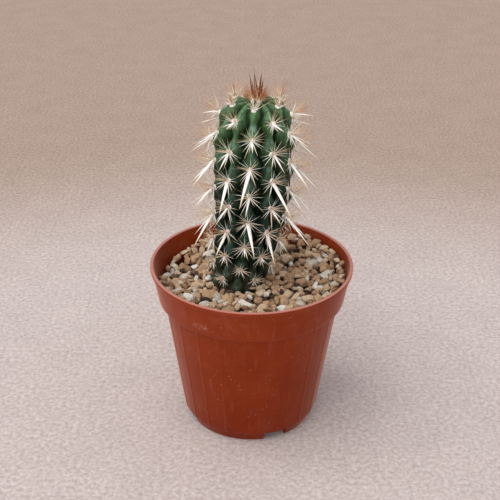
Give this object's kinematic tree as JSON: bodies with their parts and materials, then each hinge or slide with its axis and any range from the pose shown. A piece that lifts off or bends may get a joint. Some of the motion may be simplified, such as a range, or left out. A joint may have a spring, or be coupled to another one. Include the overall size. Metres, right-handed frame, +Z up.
{
  "type": "potted cactus",
  "caption": "Young ribbed columnar cactus with starry spines in a round terracotta-coloured plastic nursery pot, top-dressed with loose tan and cream gravel.",
  "frame": {"origin": "centre of the circle that the pot's foot stands on, on the ground", "axes": "+Z up along the pot's axis; the front, which is the side the plant was set up to be seen from, faces -Y"},
  "size_m": [0.085, 0.085, 0.1535],
  "materials": {
    "pot_plastic": "injection-moulded terracotta-coloured polypropylene, satin, slightly dusty",
    "potting_mix": "loose mix of small baked clay granules, pumice grit and bark crumbs, dry and matt",
    "cactus_skin": "waxy dark green skin with a soft sheen; white and tan spines from woolly pads",
    "baked_clay": "tan baked clay granules, rounded, dry and matt",
    "pumice": "cream pumice stones, rounded, dry and chalky"
  },
  "bodies": {
    "root": {"cactus": "cactus_skin", "clay_granule_01": "baked_clay", "clay_granule_02": "baked_clay", "clay_granule_03": "baked_clay", "clay_granule_04": "baked_clay", "clay_granule_05": "baked_clay", "clay_granule_06": "baked_clay", "clay_granule_07": "baked_clay", "clay_granule_08": "baked_clay", "clay_granule_09": "baked_clay", "clay_granule_10": "baked_clay", "clay_granule_11": "baked_clay", "clay_granule_12": "baked_clay", "clay_granule_13": "baked_clay", "clay_granule_14": "baked_clay", "clay_granule_15": "baked_clay", "clay_granule_16": "baked_clay", "clay_granule_17": "baked_clay", "clay_granule_18": "baked_clay", "clay_granule_19": "baked_clay", "clay_granule_20": "baked_clay", "clay_granule_21": "baked_clay", "clay_granule_22": "baked_clay", "clay_granule_23": "baked_clay", "clay_granule_24": "baked_clay", "clay_granule_25": "baked_clay", "clay_granule_26": "baked_clay", "clay_granule_27": "baked_clay", "clay_granule_28": "baked_clay", "clay_granule_29": "baked_clay", "clay_granule_30": "baked_clay", "clay_granule_31": "baked_clay", "clay_granule_32": "baked_clay", "pot": "pot_plastic", "potting_mix": "potting_mix", "pumice_01": "pumice", "pumice_02": "pumice", "pumice_03": "pumice", "pumice_04": "pumice", "pumice_05": "pumice", "pumice_06": "pumice", "pumice_07": "pumice", "pumice_08": "pumice", "pumice_09": "pumice", "pumice_10": "pumice", "pumice_11": "pumice", "pumice_12": "pumice"}
  },
  "joints": []
}
